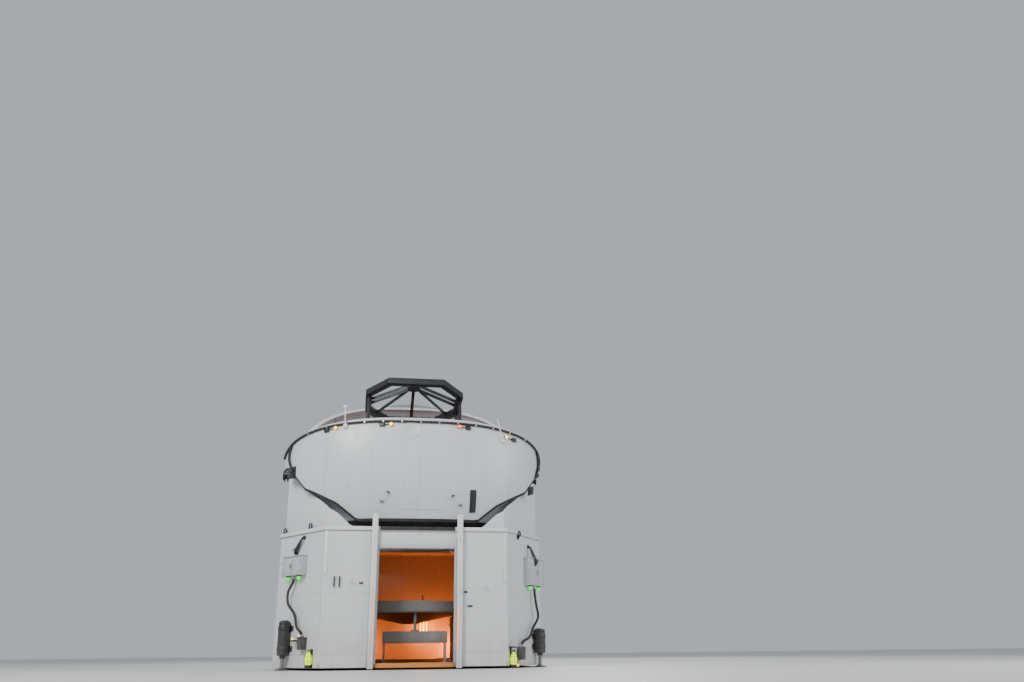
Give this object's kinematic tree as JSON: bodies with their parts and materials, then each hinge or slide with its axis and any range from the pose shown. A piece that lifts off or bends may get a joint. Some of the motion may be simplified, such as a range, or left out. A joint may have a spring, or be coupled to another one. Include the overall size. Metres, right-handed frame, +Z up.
{
  "type": "transportable telescope enclosure with a clamshell dome",
  "caption": "Small observatory dome: an eight-sided cabin on jacks, a white clamshell dome whose petals fold down in front and behind, and a fork telescope with an octagonal top ring.",
  "frame": {"origin": "on the ground under the centre of the cabin, at the base of the jacks", "axes": "+X to the right seen from the door, -Y out of the door, +Z up"},
  "size_m": [5.38, 4.9, 6.0106],
  "materials": {
    "body_panel": "satin off-white paint on flat sandwich panels, faint seams and dust",
    "rail_white": "satin white paint",
    "dome_shell": "semi-gloss white gelcoat over the shell, light streaks and dust",
    "black_steel": "satin black paint",
    "jack_black": "satin black paint, worn at the edges",
    "box_grey": "satin light grey paint",
    "box_dark": "satin dark grey paint",
    "hose_rubber": "matt black ribbed rubber",
    "lamp_lime": "glossy lime lens, lit",
    "floor_steel": "matt grey floor paint, scuffed",
    "frame_steel": "satin grey paint",
    "fork_paint": "satin warm white paint",
    "tube_black": "matt black paint",
    "mirror_glass": "polished mirror coating",
    "lamp_amber": "warm lit diffuser"
  },
  "bodies": {
    "enclosure": {"floor": "floor_steel", "front_wall_left": "body_panel", "front_wall_right": "body_panel", "front_lintel": "body_panel", "front_right_corner_wall": "body_panel", "right_side_wall": "body_panel", "rear_right_corner_wall": "body_panel", "rear_wall": "body_panel", "rear_left_corner_wall": "body_panel", "left_side_wall": "body_panel", "front_left_corner_wall": "body_panel", "roof_ledge": "body_panel", "left_door_rail": "rail_white", "right_door_rail": "rail_white", "fixed_shell_front": "dome_shell", "fixed_shell_rear": "dome_shell", "left_skirt": "body_panel", "right_skirt": "body_panel", "left_pivot_post": "black_steel", "right_pivot_post": "black_steel", "front_left_jack": "jack_black", "front_right_jack": "jack_black", "rear_left_jack": "jack_black", "rear_right_jack": "jack_black", "left_service_box": "box_grey", "left_low_box": "box_dark", "left_hose": "hose_rubber", "left_ground_lamp": "lamp_lime", "right_service_box": "box_grey", "right_low_box": "box_dark", "right_hose": "hose_rubber", "right_ground_lamp": "lamp_lime", "roller_base": "frame_steel", "guide_trestle": "fork_paint", "wall_lamp": "lamp_amber"},
    "front_outer": {"front_outer_petal_left": "dome_shell", "front_outer_petal_right": "dome_shell"},
    "front_inner": {"front_inner_petal_left": "dome_shell", "front_inner_petal_right": "dome_shell"},
    "rear_outer": {"rear_outer_petal_left": "dome_shell", "rear_outer_petal_right": "dome_shell"},
    "rear_inner": {"rear_inner_petal_left": "dome_shell", "rear_inner_petal_right": "dome_shell"},
    "fork": {"turntable": "fork_paint", "fork_arm_left": "fork_paint", "fork_arm_right": "fork_paint"},
    "tube": {"centre_section": "tube_black", "mirror_cell": "tube_black", "primary_mirror": "mirror_glass", "top_ring": "tube_black", "left_truss": "tube_black", "right_truss": "tube_black", "spider": "tube_black"}
  },
  "joints": [
    {"name": "front_outer_swing", "type": "hinge", "parent": "enclosure", "child": "front_outer", "pos_m": [0, 0, 3.8], "axis": [-1, 0, 0], "range_deg": [0, 29]},
    {"name": "front_inner_swing", "type": "hinge", "parent": "enclosure", "child": "front_inner", "pos_m": [0, 0, 3.8], "axis": [-1, 0, 0], "range_deg": [0, 70.9]},
    {"name": "rear_outer_swing", "type": "hinge", "parent": "enclosure", "child": "rear_outer", "pos_m": [0, 0, 3.8], "axis": [1, 0, 0], "range_deg": [-29, 0]},
    {"name": "rear_inner_swing", "type": "hinge", "parent": "enclosure", "child": "rear_inner", "pos_m": [0, 0, 3.8], "axis": [1, 0, 0], "range_deg": [-36, 34.9]},
    {"name": "azimuth_turn", "type": "hinge", "parent": "enclosure", "child": "fork", "pos_m": [0, 0, 0.83], "axis": [0, 0, 1], "range_deg": [-270, 270]},
    {"name": "altitude_tilt", "type": "hinge", "parent": "fork", "child": "tube", "pos_m": [0, 0, 3.8], "axis": [1, 0, 0], "range_deg": [-45, 10]}
  ]
}
